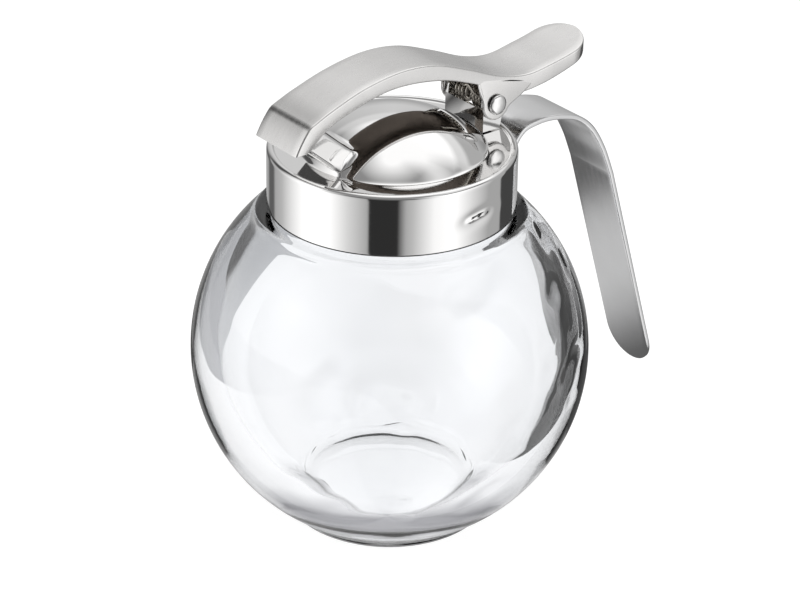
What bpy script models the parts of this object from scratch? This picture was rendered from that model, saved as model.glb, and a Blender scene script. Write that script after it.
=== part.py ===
"""Glass honey dispenser with a thumb lever, empty.

A blown-glass globe on a foot ring carries a steel screw lid.  The lid has a
domed top with a short rectangular pouring stub.  A cast lever, hinged on a
rivet between the ears of a U-bracket, closes the stub with the underside of
its front end; a torsion spring on the rivet holds it shut.  A steel strap,
fixed to the rear of the lid's collar, hangs down beside the globe as handle.

+Z is up, the spout points along -X and the handle along +X.  The object stands
on z = 0.  The origin is the centre of the bounding box's bottom face.
Sizes below are millimetres; they are scaled to metres when meshes are made.
"""

import math

import bmesh
import bpy
import numpy as np
from mathutils import Matrix, Vector

MM = 0.001

# ---------------------------------------------------------------- driving sizes
GLOBE_R = 47.5            # outer radius of the glass globe
GLOBE_Z = 42.7            # height of the globe's centre above the table
FOOT_R = 23.2             # outer radius of the flat of the foot ring
FOOT_INNER_R = 20.6       # inner radius of the flat of the foot ring
CAVITY_R = 41.4           # radius of the hollow, whose centre is lifted a
CAVITY_LIFT = 1.2         # little; it widens towards the edge of its floor
CAVITY_WIDER = 0.45
FLOOR_Z = 6.8             # inner floor above the table
FLOOR_R = 19.8            # radius of its flat
NECK_R = 27.6             # outer radius of the neck inside the lid
NECK_BORE_R = 24.4
NECK_TOP_Z = 93.0

COLLAR_R = 29.3           # lid
LID_T = 0.8
COLLAR_BOTTOM_Z = 80.0
DECK_Z = 94.6             # flat mirror deck inside the rim
RIM_Z = 95.1
RIM_ROUND = 1.1
DOME_R = 22.0             # base radius of the dome
DOME_H = 9.2

STUB_HALF_W = 6.3         # pouring stub, a rectangular tube
STUB_H = 6.3
STUB_SLOPE = 40.5         # degrees above the horizontal, towards -X
STUB_FOOT = (-17.75, 97.2)  # middle of the stub where it leaves the dome
STUB_WALL = 0.9

PIVOT_X = 24.4            # lever hinge, measured from the globe's axis
PIVOT_Z = 101.6
PIN_R = 1.2
PIN_HEAD_R = 2.45
BORE_R = 1.5              # hole in the ears and in the lever's cheeks

EAR_OUT = 7.15            # half distance over the bracket's ears
SHEET_T = 1.0
WEB_X = 21.2              # front of the web that joins the ears
WEB_T = 0.7
WEB_TOP_Z = 100.4
CHEEK_IN = 7.45           # lever's cheeks, outside the ears
CHEEK_OUT = 8.15
CHEEK_R = 3.95

LEVER_HALF_W = 7.6
LEVER_TIP_HALF_W = 7.9
THUMB_HALF_W = 8.0
THUMB_C = 48.1            # where the rounded end of the thumb rest begins
THUMB_ROUND = 6.5
LEVER_EDGE = 0.45         # chamfer on the lever's long edges

STRAP_HALF_W = 7.6        # handle strap
STRAP_T = 1.3
STRAP_ROUND = 7.9         # length of its rounded lower end
FLANGE_R = 29.65          # inner face of the flange, just clear of the collar
HANDLE_REACH = 79.5       # farthest point of the strap from the globe's axis

COIL_R = 2.2              # spring, to the middle of the wire
COIL_Y = (5.3, 1.15)      # outer and inner end of each coil
WIRE_R = 0.4
SPRING_TURNS = 4

GAP = 0.3                 # clearance between pieces that touch

# The jar's axis, so that the bounding box's middle lies on x = 0.
AXIS_X = -(HANDLE_REACH - GLOBE_R) / 2

STEPS = 44                # facets round the turned pieces

# Side view of the lever and the strap: (x from the globe's axis, z above the
# table), each a line of named stations that a smooth curve runs through.
LEVER_TOP = [
    (-29.4, 109.35),      # crease above the front plate
    (-23.2, 112.0),
    (-13.5, 115.1),
    (-3.2, 116.6),        # top of the arch
    (6.5, 115.7),
    (16.5, 112.2),
    (26.0, 108.3),        # saddle above the hinge
    (34.0, 106.8),
    (42.0, 107.95),
    (48.1, 109.3),
    (54.6, 111.45),       # end of the thumb rest
]
LEVER_TIP = (-33.4, 103.2)
LEVER_HEEL = (-29.9, 103.3)   # rear corner of the front plate's foot
LEVER_UNDER = [
    (-24.2, 107.75),      # end of the flat that closes the stub
    (-17.0, 110.3),
    (-8.0, 112.35),
    (0.0, 112.5),
    (9.0, 111.1),
    (17.0, 108.4),
    (24.4, 105.2),
    (32.0, 102.6),
    (38.0, 103.0),
    (45.0, 104.7),
    (50.5, 106.6),
    (54.6, 108.4),
]
STRAP_TOP = [
    (29.65, 81.3),        # foot of the flange that hugs the collar
    (29.65, 86.0),
    (30.8, 90.0),
    (33.6, 92.9),
    (37.6, 93.85),
    (41.9, 93.95),
    (46.6, 93.1),
    (51.2, 91.4),
    (55.6, 87.6),
    (59.5, 81.2),
    (62.5, 73.8),
]
STRAP_SLOPE = 73.8        # the hanging run, degrees below the horizontal
STRAP_END_Z = 15.4


# ---------------------------------------------------------------- small helpers
def clear_scene():
    for obj in list(bpy.data.objects):
        bpy.data.objects.remove(obj, do_unlink=True)


def new_collection(name, hidden=False):
    made = bpy.data.collections.new(name)
    bpy.context.scene.collection.children.link(made)
    made.hide_render = hidden
    return made


def material(name, color, rough, metal, transmission=0.0):
    made = bpy.data.materials.new(name)
    made.use_nodes = True
    shader = made.node_tree.nodes["Principled BSDF"]
    shader.inputs["Base Color"].default_value = (*color, 1.0)
    shader.inputs["Roughness"].default_value = rough
    shader.inputs["Metallic"].default_value = metal
    shader.inputs["Transmission Weight"].default_value = transmission
    made.diffuse_color = (*color, 1.0)
    return made


def add(name, mesh, home, surface=None):
    obj = bpy.data.objects.new(name, mesh)
    home.objects.link(obj)
    if surface is not None:
        mesh.materials.append(surface)
    return obj


def mesh_from(name, points, edges=(), faces=()):
    mesh = bpy.data.meshes.new(name)
    mesh.from_pydata([tuple(c * MM for c in p) for p in points], list(edges), list(faces))
    mesh.update()
    return mesh


def helper(obj):
    """Marks an object as a cutter or a joining shape, which isn't a piece."""
    obj.hide_render = True
    obj.display_type = "WIRE"
    return obj


def arc(cx, cz, radius, start, end, count):
    """Points on a circle in side view, angles in degrees from +X towards +Z."""
    angles = np.radians(np.linspace(start, end, count))
    return [(cx + radius * math.cos(a), cz + radius * math.sin(a)) for a in angles]


def smooth_line(stations, per_span):
    """Catmull-Rom curve through the stations."""
    s = [np.array(p, float) for p in stations]
    s = [2 * s[0] - s[1], *s, 2 * s[-1] - s[-2]]
    line = []
    for i in range(1, len(s) - 2):
        for k in range(per_span):
            t = k / per_span
            line.append(
                0.5 * (
                    2 * s[i]
                    + (s[i + 1] - s[i - 1]) * t
                    + (2 * s[i - 1] - 5 * s[i] + 4 * s[i + 1] - s[i + 2]) * t * t
                    + (3 * s[i] - s[i - 1] - 3 * s[i + 1] + s[i + 2]) * t ** 3
                )
            )
    line.append(s[-2])
    return [(float(p[0]), float(p[1])) for p in line]


def height_at(line, x):
    """z of a side-view line at x; the line runs towards +X."""
    return float(np.interp(x, [p[0] for p in line], [p[1] for p in line]))


def turned(name, profile, home, surface=None, steps=STEPS):
    """Solid of revolution about Z from (radius, z) points, outer side downwards."""
    points = [(r, 0.0, z) for r, z in profile]
    edges = [(i, i + 1) for i in range(len(points) - 1)]
    obj = add(name, mesh_from(name, points, edges), home, surface)
    screw = obj.modifiers.new("turn", "SCREW")
    screw.axis = "Z"
    screw.steps = screw.render_steps = steps
    screw.use_merge_vertices = True
    screw.merge_threshold = 1e-6
    screw.use_smooth_shade = True
    return obj


def plate(name, outline, y_low, y_high, home, surface=None):
    """Flat piece in the XZ plane between two values of y, from a filled 2D curve."""
    curve = bpy.data.curves.new(name, "CURVE")
    curve.dimensions = "2D"
    curve.fill_mode = "BOTH"
    curve.extrude = abs(y_high - y_low) / 2 * MM
    line = curve.splines.new("POLY")
    line.points.add(len(outline) - 1)
    for point, (x, z) in zip(line.points, outline):
        point.co = (x * MM, z * MM, 0.0, 1.0)
    line.use_cyclic_u = True
    drawn = bpy.data.objects.new(name + "_outline", curve)
    home.objects.link(drawn)
    drawn.matrix_world = (
        Matrix.Translation((0.0, (y_low + y_high) / 2 * MM, 0.0))
        @ Matrix.Rotation(math.radians(90.0), 4, "X")
    )
    bpy.context.view_layer.update()
    graph = bpy.context.evaluated_depsgraph_get()
    mesh = bpy.data.meshes.new_from_object(drawn.evaluated_get(graph))
    mesh.transform(drawn.matrix_world)
    bm = bmesh.new()
    bm.from_mesh(mesh)
    bmesh.ops.remove_doubles(bm, verts=bm.verts, dist=1e-6)
    bmesh.ops.recalc_face_normals(bm, faces=bm.faces)
    bm.to_mesh(mesh)
    bm.free()
    bpy.data.objects.remove(drawn, do_unlink=True)
    return add(name, mesh, home, surface)


def loft(name, rings, home, surface=None):
    """Closed skin over rings that all have the same number of points."""
    n = len(rings[0])
    points = [p for ring in rings for p in ring]
    faces = []
    for k in range(len(rings) - 1):
        for i in range(n):
            j = (i + 1) % n
            faces.append((k * n + i, k * n + j, (k + 1) * n + j, (k + 1) * n + i))
    faces.append(tuple(range(n))[::-1])
    faces.append(tuple(range((len(rings) - 1) * n, len(rings) * n)))
    mesh = mesh_from(name, points, faces=faces)
    bm = bmesh.new()
    bm.from_mesh(mesh)
    bmesh.ops.recalc_face_normals(bm, faces=bm.faces)
    bm.to_mesh(mesh)
    bm.free()
    return add(name, mesh, home, surface)


def cylinder_y(name, x, z, radius, half_length, home, sides=24):
    """Cylinder along Y."""
    bm = bmesh.new()
    bmesh.ops.create_cone(
        bm, cap_ends=True, cap_tris=False, segments=sides,
        radius1=radius * MM, radius2=radius * MM, depth=2 * half_length * MM,
        matrix=Matrix.Translation((x * MM, 0.0, z * MM)) @ Matrix.Rotation(math.radians(90), 4, "X"),
    )
    mesh = bpy.data.meshes.new(name)
    bm.to_mesh(mesh)
    bm.free()
    return add(name, mesh, home)


def boolean(obj, other, operation):
    step = obj.modifiers.new(operation.lower() + "_" + other.name, "BOOLEAN")
    step.operation = operation
    step.solver = "EXACT"
    step.object = other
    return step


# ---------------------------------------------------------------- side lines
def lever_lines():
    return smooth_line(LEVER_TOP, 3), smooth_line([LEVER_HEEL, *LEVER_UNDER], 3)


def lever_half_width(x):
    """Half width of the lever seen from above."""
    if x > THUMB_C:
        t = min((x - THUMB_C) / THUMB_ROUND, 1.0)
        return THUMB_HALF_W * math.sqrt(max(1.0 - t * t, 0.0))
    if x > 26.0:
        t = min((x - 26.0) / 16.0, 1.0)
        return LEVER_HALF_W + (THUMB_HALF_W - LEVER_HALF_W) * t * t * (3 - 2 * t)
    if x < -14.0:
        t = min((-14.0 - x) / 14.0, 1.0)
        return LEVER_HALF_W + (LEVER_TIP_HALF_W - LEVER_HALF_W) * t
    return LEVER_HALF_W


def lid_outer():
    """Outer side of the lid from the dome's top to the collar's foot."""
    ball = (DOME_R ** 2 + DOME_H ** 2) / (2 * DOME_H)
    centre = DECK_Z + DOME_H - ball
    line = []
    for r in np.linspace(0.0, DOME_R - 0.25, 9):
        line.append((float(r), centre + math.sqrt(ball ** 2 - r ** 2)))
    line += [(DOME_R + 0.6, DECK_Z), (COLLAR_R - RIM_ROUND - 0.75, DECK_Z)]
    line += [(COLLAR_R - RIM_ROUND - 0.35, DECK_Z + 0.35)]
    line += arc(COLLAR_R - RIM_ROUND, RIM_Z - RIM_ROUND, RIM_ROUND, 90, 0, 4)
    line.append((COLLAR_R, COLLAR_BOTTOM_Z))
    return line


def lid_inner():
    """Inner side of the lid from the collar's foot back to the dome's top."""
    ball = (DOME_R ** 2 + DOME_H ** 2) / (2 * DOME_H)
    centre = DECK_Z + DOME_H - ball
    line = [(COLLAR_R - LID_T, COLLAR_BOTTOM_Z), (COLLAR_R - LID_T, DECK_Z - LID_T - 0.4)]
    line += [(COLLAR_R - LID_T - 0.4, DECK_Z - LID_T), (DOME_R + 0.2, DECK_Z - LID_T)]
    for r in np.linspace(DOME_R - 0.6, 0.0, 6):
        line.append((float(r), centre + math.sqrt((ball - LID_T) ** 2 - r ** 2)))
    return line


def cavity_line(start, end, count):
    """Inner wall of the globe between two angles above the horizontal."""
    line = []
    for angle in np.linspace(start, end, count):
        t = min(max((-angle - 28.0) / 30.0, 0.0), 1.0)
        r = CAVITY_R + CAVITY_WIDER * t * t * (3 - 2 * t)
        a = math.radians(angle)
        line.append((r * math.cos(a), GLOBE_Z + CAVITY_LIFT + r * math.sin(a)))
    return line


# ---------------------------------------------------------------- pieces
def build_glass(home, surface):
    g = GLOBE_Z
    shoulder = math.degrees(math.acos(31.9 / GLOBE_R))
    foot = math.degrees(math.asin(39.7 / GLOBE_R))
    mouth = math.degrees(math.acos(NECK_BORE_R / CAVITY_R))
    inner = [(0.0, FLOOR_Z), (FLOOR_R, FLOOR_Z), (FLOOR_R + 1.6, FLOOR_Z + 0.4), (FLOOR_R + 2.4, FLOOR_Z + 1.6)]
    inner += cavity_line(-57.0, mouth, 12)
    inner += [(NECK_BORE_R, NECK_TOP_Z - 0.6), (NECK_BORE_R + 0.6, NECK_TOP_Z)]
    outer = [(NECK_R - 0.7, NECK_TOP_Z), (NECK_R, NECK_TOP_Z - 0.7), (NECK_R, g + 37.6)]
    outer += [(28.1, g + 36.6), (29.4, g + 36.15), (31.0, g + 35.95), (31.6, g + 35.55)]
    outer += arc(0.0, g, GLOBE_R, shoulder, -foot, 16)
    outer += [(25.1, g - 40.3), (24.1, g - 41.8), (FOOT_R, 0.0), (FOOT_INNER_R, 0.0)]
    outer += [(FOOT_INNER_R - 1.6, 0.35), (12.0, 0.95), (0.0, 1.2)]
    obj = turned("glass_jar", inner + outer, home, surface)
    obj.location.x = AXIS_X * MM
    return obj


def stub_rings(half_w, half_h, start, end, flare):
    """Rounded rectangles along the stub's axis; distances run from the dome."""
    a = math.radians(STUB_SLOPE)
    along = np.array([-math.cos(a), 0.0, math.sin(a)])
    up = np.array([math.sin(a), 0.0, math.cos(a)])
    side = np.array([0.0, 1.0, 0.0])
    foot = np.array([STUB_FOOT[0], 0.0, STUB_FOOT[1]])
    stations = [start] + ([-0.4, 0.4, 1.4] if flare else []) + [end]
    grow = [flare] + ([flare * 0.72, flare * 0.25, 0.0] if flare else []) + [0.0]
    rings = []
    for s, g in zip(stations, grow):
        w, h, r = half_w + g, half_h + g, 0.8
        ring = []
        for cx, cz, first in ((w - r, h - r, 0), (r - w, h - r, 90), (r - w, r - h, 180), (w - r, r - h, 270)):
            for k in range(3):
                t = math.radians(first + 45 * k)
                ring.append(foot + along * s + side * (cx + r * math.cos(t)) + up * (cz + r * math.sin(t)))
        rings.append(ring)
    return rings


def build_lid(home, tools, surface):
    obj = turned("lid", lid_outer() + lid_inner(), home, surface)
    stub = helper(loft("stub_outside", stub_rings(STUB_HALF_W, STUB_H / 2, -2.6, 17.0, 1.2), tools))
    # The stub's mouth is cut along the lever's closing face.
    a = math.atan2(LEVER_UNDER[0][1] - LEVER_HEEL[1], LEVER_UNDER[0][0] - LEVER_HEEL[0])
    bm = bmesh.new()
    bmesh.ops.create_cube(bm, size=1.0)
    mouth_mesh = bpy.data.meshes.new("mouth_plane")
    bm.to_mesh(mouth_mesh)
    bm.free()
    mouth = helper(add("mouth_plane", mouth_mesh, tools))
    middle = Vector(((LEVER_HEEL[0] + LEVER_UNDER[0][0]) / 2, 0.0, (LEVER_HEEL[1] + LEVER_UNDER[0][1]) / 2))
    outward = Vector((-math.sin(a), 0.0, math.cos(a)))
    mouth.scale = (40 * MM, 30 * MM, 20 * MM)
    mouth.rotation_euler = (0.0, -a, 0.0)
    mouth.location = (middle + outward * (10.0 - GAP)) * MM
    boolean(stub, mouth, "DIFFERENCE")
    boolean(obj, stub, "UNION")
    channel = helper(
        loft("stub_channel", stub_rings(STUB_HALF_W - STUB_WALL, STUB_H / 2 - STUB_WALL, -9.0, 20.0, 0.0), tools)
    )
    boolean(obj, channel, "DIFFERENCE")
    obj.location.x = AXIS_X * MM
    for shape in (stub, channel, mouth):
        shape.location.x += AXIS_X * MM
    return obj


def build_lever(home, tools, surface, pivot):
    top, under = lever_lines()
    heel_x = LEVER_HEEL[0]
    rings = []

    def ring(upper, lower, half, edge):
        """Section from (x, z) at the top to (x, z) below, with chamfered edges."""
        (xa, za), (xb, zb) = upper, lower
        u = np.array([xa - xb, za - zb])
        u = u / np.hypot(*u)
        return [
            (xa - u[0] * edge, half, za - u[1] * edge), (xa, half - edge, za),
            (xa, -half + edge, za), (xa - u[0] * edge, -half, za - u[1] * edge),
            (xb + u[0] * edge, -half, zb + u[1] * edge), (xb, -half + edge, zb),
            (xb, half - edge, zb), (xb + u[0] * edge, half, zb + u[1] * edge),
        ]

    # The front plate, from its foot up to the crease.
    crease = top[0]
    for t in (0.0, 0.5, 1.0):
        upper = (LEVER_TIP[0] + (crease[0] - LEVER_TIP[0]) * t, LEVER_TIP[1] + (crease[1] - LEVER_TIP[1]) * t)
        lower_end = under[3]
        lower = (LEVER_HEEL[0] + (lower_end[0] - LEVER_HEEL[0]) * t, LEVER_HEEL[1] + (lower_end[1] - LEVER_HEEL[1]) * t)
        rings.append(ring(upper, lower, LEVER_TIP_HALF_W, LEVER_EDGE))
    # The arch, the saddle and the thumb rest.
    xs = [p[0] for p in top[2:] if p[0] < THUMB_C]
    xs += [THUMB_C + THUMB_ROUND * math.sin(math.radians(d)) for d in (0, 20, 38, 52, 64, 74, 82)]
    for x in xs:
        lean = max(0.0, (x + 24.0) / -5.4) if x < -24.0 else 0.0
        low_x = x + 4.5 * min(lean, 1.0) if x < -24.0 else x
        half = lever_half_width(x)
        rings.append(ring((x, height_at(top, x)), (low_x, height_at(under, low_x)), half, min(LEVER_EDGE, half * 0.4)))
    obj = loft("lever", rings, home, surface)

    # Cheeks that reach down outside the bracket's ears, round the rivet.
    outline = [(19.0, PIVOT_Z + 5.6), (19.9, PIVOT_Z + 3.6), (20.35, PIVOT_Z + 1.6)]
    outline += arc(PIVOT_X, PIVOT_Z, CHEEK_R, 175, 335, 10)
    outline += [(29.6, PIVOT_Z - 0.6), (32.5, PIVOT_Z + 0.9), (35.5, PIVOT_Z + 3.0)]
    outline += [(30.0, PIVOT_Z + 4.2), (24.0, PIVOT_Z + 6.0)]
    for side in (-1, 1):
        low, high = sorted((side * (CHEEK_IN), side * CHEEK_OUT))
        cheek = helper(plate("cheek_right" if side < 0 else "cheek_left", outline[::-1], low, high, tools))
        boolean(obj, cheek, "UNION")
        cheek.parent = pivot
        cheek.matrix_parent_inverse = Matrix.Translation((-PIVOT_X * MM, 0.0, -PIVOT_Z * MM))
    bore = helper(cylinder_y("lever_bore", PIVOT_X, PIVOT_Z, BORE_R, CHEEK_OUT + 2.0, tools))
    boolean(obj, bore, "DIFFERENCE")
    bore.parent = pivot
    bore.matrix_parent_inverse = Matrix.Translation((-PIVOT_X * MM, 0.0, -PIVOT_Z * MM))
    obj.parent = pivot
    obj.matrix_parent_inverse = Matrix.Translation((-PIVOT_X * MM, 0.0, -PIVOT_Z * MM))
    return obj


def build_bracket(home, tools, surface):
    """Sheet bracket: a web behind the dome, two ears for the rivet, and a floor."""
    base_z = DECK_Z + GAP
    front, rear = WEB_X, 26.2
    outline = [(front, base_z), (rear, base_z), (27.3, PIVOT_Z - 1.6)]
    outline += arc(PIVOT_X, PIVOT_Z, 3.1, -10, 184, 12)
    outline += [(front, PIVOT_Z - 1.2)]
    obj = plate("bracket", outline, -EAR_OUT, -EAR_OUT + SHEET_T, home, surface)
    other = helper(plate("bracket_far_ear", outline, EAR_OUT - SHEET_T, EAR_OUT, tools))
    base = [(22.3, base_z), (rear - 0.3, base_z), (rear - 0.3, base_z + SHEET_T), (22.3, base_z + SHEET_T)]
    floor = helper(plate("bracket_floor", base, -EAR_OUT + 0.2, EAR_OUT - 0.2, tools))
    # The web's lower edge follows the dome's foot just clear of it.
    w = EAR_OUT - 0.2
    lower = [(-w, base_z), (-5.6, base_z + 0.1), (-4.0, 95.5), (-2.0, 95.85), (0.0, 95.95)]
    lower += [(-y, z) for y, z in reversed(lower[:-1])]
    web_outline = lower + [(w, WEB_TOP_Z), (-w, WEB_TOP_Z)]
    web = helper(plate("bracket_web", web_outline, -front - WEB_T, -front, tools))
    web.data.transform(Matrix.Rotation(math.radians(90), 4, "Z"))
    bore = helper(cylinder_y("bracket_bore", PIVOT_X, PIVOT_Z, BORE_R, EAR_OUT + 2.0, tools))
    boolean(obj, floor, "UNION")
    boolean(obj, other, "UNION")
    boolean(obj, web, "UNION")
    boolean(obj, bore, "DIFFERENCE")
    for shape in (obj, other, floor, web, bore):
        shape.location.x = AXIS_X * MM
    return obj


def strap_line():
    line = smooth_line(STRAP_TOP, 3)
    a = math.radians(STRAP_SLOPE)
    x, z = line[-1]
    length = (z - STRAP_END_Z) / math.sin(a)
    straight = length - STRAP_ROUND
    for s in list(np.linspace(0, straight, 5)[1:]):
        line.append((x + s * math.cos(a), z - s * math.sin(a)))
    ends = []
    for d in (18, 34, 48, 60, 70, 78, 84):
        s = straight + STRAP_ROUND * math.sin(math.radians(d))
        line.append((x + s * math.cos(a), z - s * math.sin(a)))
        ends.append(STRAP_HALF_W * math.cos(math.radians(d)) ** 0.87)
    widths = [STRAP_HALF_W] * (len(line) - len(ends)) + ends
    return line, widths


def build_handle(home, surface):
    line, widths = strap_line()
    columns = 6
    points, faces = [], []
    for i, ((x, z), half) in enumerate(zip(line, widths)):
        # The flange at the root is curved to lie on the collar's wall.  The
        # face that lies there goes over the bend and becomes the strap's top.
        hug = min(max((90.0 - z) / 6.0, 0.0), 1.0) if x < 34.0 else 0.0
        for k in range(columns + 1):
            y = half * (2 * k / columns - 1)
            back = math.sqrt(FLANGE_R ** 2 - y * y) - FLANGE_R
            points.append((x + back * hug, y, z))
    for i in range(len(line) - 1):
        for k in range(columns):
            a = i * (columns + 1) + k
            faces.append((a, a + 1, a + columns + 2, a + columns + 1))
    mesh = mesh_from("handle", points, faces=faces)
    obj = add("handle", mesh, home, surface)
    shell = obj.modifiers.new("sheet", "SOLIDIFY")
    shell.thickness = STRAP_T * MM
    # The top face keeps its place and the sheet grows below it.
    shell.offset = 1.0
    shell.use_even_offset = True
    shell.use_rim = True
    edge = obj.modifiers.new("eased_edges", "BEVEL")
    edge.width = 0.25 * MM
    edge.segments = 1
    edge.limit_method = "ANGLE"
    edge.angle_limit = math.radians(60)
    obj.location.x = AXIS_X * MM
    return obj


def build_pin(home, surface):
    """Rivet along Y: a shank and two domed heads."""
    inner = CHEEK_OUT + GAP
    head = []
    for d in (90, 65, 40, 15):
        head.append((PIN_HEAD_R * math.cos(math.radians(d)), inner + 0.25 + 0.75 * math.sin(math.radians(d))))
    half = head + [(PIN_HEAD_R, inner), (PIN_R, inner)]
    profile = half + [(r, -z) for r, z in reversed(half)]
    obj = turned("pin", profile, home, surface, steps=20)
    obj.rotation_euler = (math.radians(90), 0.0, 0.0)
    obj.location = ((AXIS_X + PIVOT_X) * MM, 0.0, PIVOT_Z * MM)
    return obj


def wire(name, points, radius, home, surface):
    curve = bpy.data.curves.new(name, "CURVE")
    curve.dimensions = "3D"
    curve.bevel_depth = radius * MM
    curve.bevel_resolution = 1
    curve.use_fill_caps = True
    line = curve.splines.new("POLY")
    line.points.add(len(points) - 1)
    for point, p in zip(line.points, points):
        point.co = (p[0] * MM, p[1] * MM, p[2] * MM, 1.0)
    obj = bpy.data.objects.new(name, curve)
    home.objects.link(obj)
    curve.materials.append(surface)
    return obj


def build_springs(home, surface, pivot):
    """Double torsion spring: two coils on the rivet with a loop between them that
    bears on the bracket's web, and a leg at each end that lifts the lever."""
    count = SPRING_TURNS * 9
    half = []
    for k in range(count + 1):
        t = k / count
        ang = math.radians(120) - 2 * math.pi * (SPRING_TURNS - 0.25) * (1 - t)
        half.append((
            PIVOT_X + COIL_R * math.cos(ang),
            COIL_Y[0] + (COIL_Y[1] - COIL_Y[0]) * t,
            PIVOT_Z + COIL_R * math.sin(ang),
        ))
    loop = [(WEB_X + WEB_T + GAP + WIRE_R, 0.75, PIVOT_Z - 0.4)]
    path = half + loop + [(x, -y, z) for x, y, z in reversed(half + loop)]
    spring = wire("spring", path, WIRE_R, home, surface)
    spring.location.x = AXIS_X * MM
    made = [spring]
    under = lever_lines()[1]
    reach = 16.4
    z = height_at(under, reach) - GAP - WIRE_R - 0.05
    for side, name in ((-1, "spring_leg_right"), (1, "spring_leg_left")):
        y = side * 6.0 * 0.9
        leg = [(PIVOT_X - 3.2, y, PIVOT_Z + 1.85), (reach + 0.4, y, z - 0.15), (reach, y - side * 0.5, z)]
        obj = wire(name, [(x - PIVOT_X, yy, zz - PIVOT_Z) for x, yy, zz in leg], WIRE_R, home, surface)
        obj.parent = pivot
        made.append(obj)
    return made


def main():
    clear_scene()
    home = new_collection("honey_dispenser")
    tools = new_collection("cutters", hidden=True)
    glass = material("clear_glass", (0.93, 0.95, 0.95), 0.03, 0.0, 1.0)
    mirror = material("polished_steel", (0.82, 0.82, 0.83), 0.06, 1.0)
    satin = material("satin_lever", (0.74, 0.73, 0.72), 0.28, 1.0)
    strap = material("satin_strap", (0.72, 0.72, 0.73), 0.22, 1.0)
    dark = material("spring_steel", (0.42, 0.40, 0.36), 0.30, 1.0)

    # The lever turns about this point: positive about +Y lifts its front end.
    pivot = bpy.data.objects.new("lever_pivot", None)
    pivot.location = ((AXIS_X + PIVOT_X) * MM, 0.0, PIVOT_Z * MM)
    home.objects.link(pivot)

    build_glass(home, glass)
    build_lid(home, tools, mirror)
    build_bracket(home, tools, strap)
    build_handle(home, strap)
    build_pin(home, mirror)
    build_lever(home, tools, satin, pivot)
    build_springs(home, dark, pivot)


main()
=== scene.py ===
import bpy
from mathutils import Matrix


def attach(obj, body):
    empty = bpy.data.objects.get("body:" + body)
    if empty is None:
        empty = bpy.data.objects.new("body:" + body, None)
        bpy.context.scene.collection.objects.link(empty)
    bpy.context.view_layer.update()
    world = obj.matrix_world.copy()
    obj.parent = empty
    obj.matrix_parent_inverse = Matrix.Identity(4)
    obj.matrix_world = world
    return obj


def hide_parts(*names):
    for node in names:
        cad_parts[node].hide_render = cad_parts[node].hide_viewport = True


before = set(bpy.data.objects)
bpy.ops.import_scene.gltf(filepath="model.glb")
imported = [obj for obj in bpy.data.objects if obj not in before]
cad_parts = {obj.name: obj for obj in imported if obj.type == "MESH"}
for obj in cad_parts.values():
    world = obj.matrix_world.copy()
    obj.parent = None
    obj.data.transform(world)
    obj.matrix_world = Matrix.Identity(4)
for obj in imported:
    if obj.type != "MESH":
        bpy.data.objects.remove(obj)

"""The looks of the empty glass honey dispenser: fine glass, mirror lid, satin
lever and strap, spring wire, soft white studio.

Lengths below are millimetres in the globe's own frame: x from the globe's axis
(spout at -x, handle at +x), z above the table.  They become metres, moved by
AXIS_X, when a mesh is made.
"""
import math

import bmesh
import bpy
import numpy as np
from mathutils import Matrix, Vector, noise

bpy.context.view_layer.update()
MM = 0.001
AXIS_X = -16.0

# ------------------------------------------------------------ sizes, as the CAD has them
GLOBE_R, GLOBE_Z = 47.5, 42.7
CAVITY_R, CAVITY_LIFT, CAVITY_WIDER = 41.4, 1.2, 0.45
FLOOR_Z, FLOOR_R = 6.8, 19.8
NECK_R, NECK_BORE_R, NECK_TOP_Z = 27.6, 24.4, 93.0
FOOT_R, FOOT_INNER_R = 23.2, 20.6
COLLAR_R, LID_T, COLLAR_BOTTOM_Z = 29.3, 0.8, 80.0
DECK_Z, RIM_Z, RIM_ROUND = 94.6, 95.1, 1.1
DOME_R, DOME_H = 22.0, 9.2
STUB_HALF_W, STUB_H, STUB_SLOPE, STUB_FOOT, STUB_WALL = 6.3, 6.3, 40.5, (-17.75, 97.2), 0.9
PIVOT_X, PIVOT_Z = 24.4, 101.6
PIN_R, PIN_HEAD_R, CHEEK_OUT, CHEEK_IN, CHEEK_R = 1.2, 2.45, 8.15, 7.45, 3.95
WEB_X, WEB_T, COIL_R, WIRE_R, SPRING_TURNS = 21.2, 0.7, 2.2, 0.4, 4
LEVER_HALF_W, LEVER_TIP_HALF_W, THUMB_HALF_W = 7.6, 7.9, 8.0
THUMB_C, THUMB_ROUND = 48.1, 6.5
STRAP_HALF_W, STRAP_T, STRAP_ROUND, FLANGE_R = 7.6, 1.3, 7.9, 29.65
STRAP_SLOPE, STRAP_END_Z = 73.8, 15.4
GAP = 0.3

LEVER_TOP = [
    (-29.4, 109.35), (-23.2, 112.0), (-13.5, 115.1), (-3.2, 116.6), (6.5, 115.7), (16.5, 112.2),
    (26.0, 108.3), (34.0, 106.8), (42.0, 107.95), (48.1, 109.3), (54.6, 111.45),
]
LEVER_TIP = (-33.4, 103.2)
LEVER_HEEL = (-29.9, 103.3)
LEVER_UNDER = [
    (-24.2, 107.75), (-17.0, 110.3), (-8.0, 112.35), (0.0, 112.5), (9.0, 111.1), (17.0, 108.4),
    (24.4, 105.2), (32.0, 102.6), (38.0, 103.0), (45.0, 104.7), (50.5, 106.6), (54.6, 108.4),
]
STRAP_TOP = [
    (29.65, 81.3), (29.65, 86.0), (30.8, 90.0), (33.6, 92.9), (37.6, 93.85), (41.9, 93.95),
    (46.6, 93.1), (51.2, 91.4), (55.6, 87.6), (59.5, 81.2), (62.5, 73.8),
]


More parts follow.
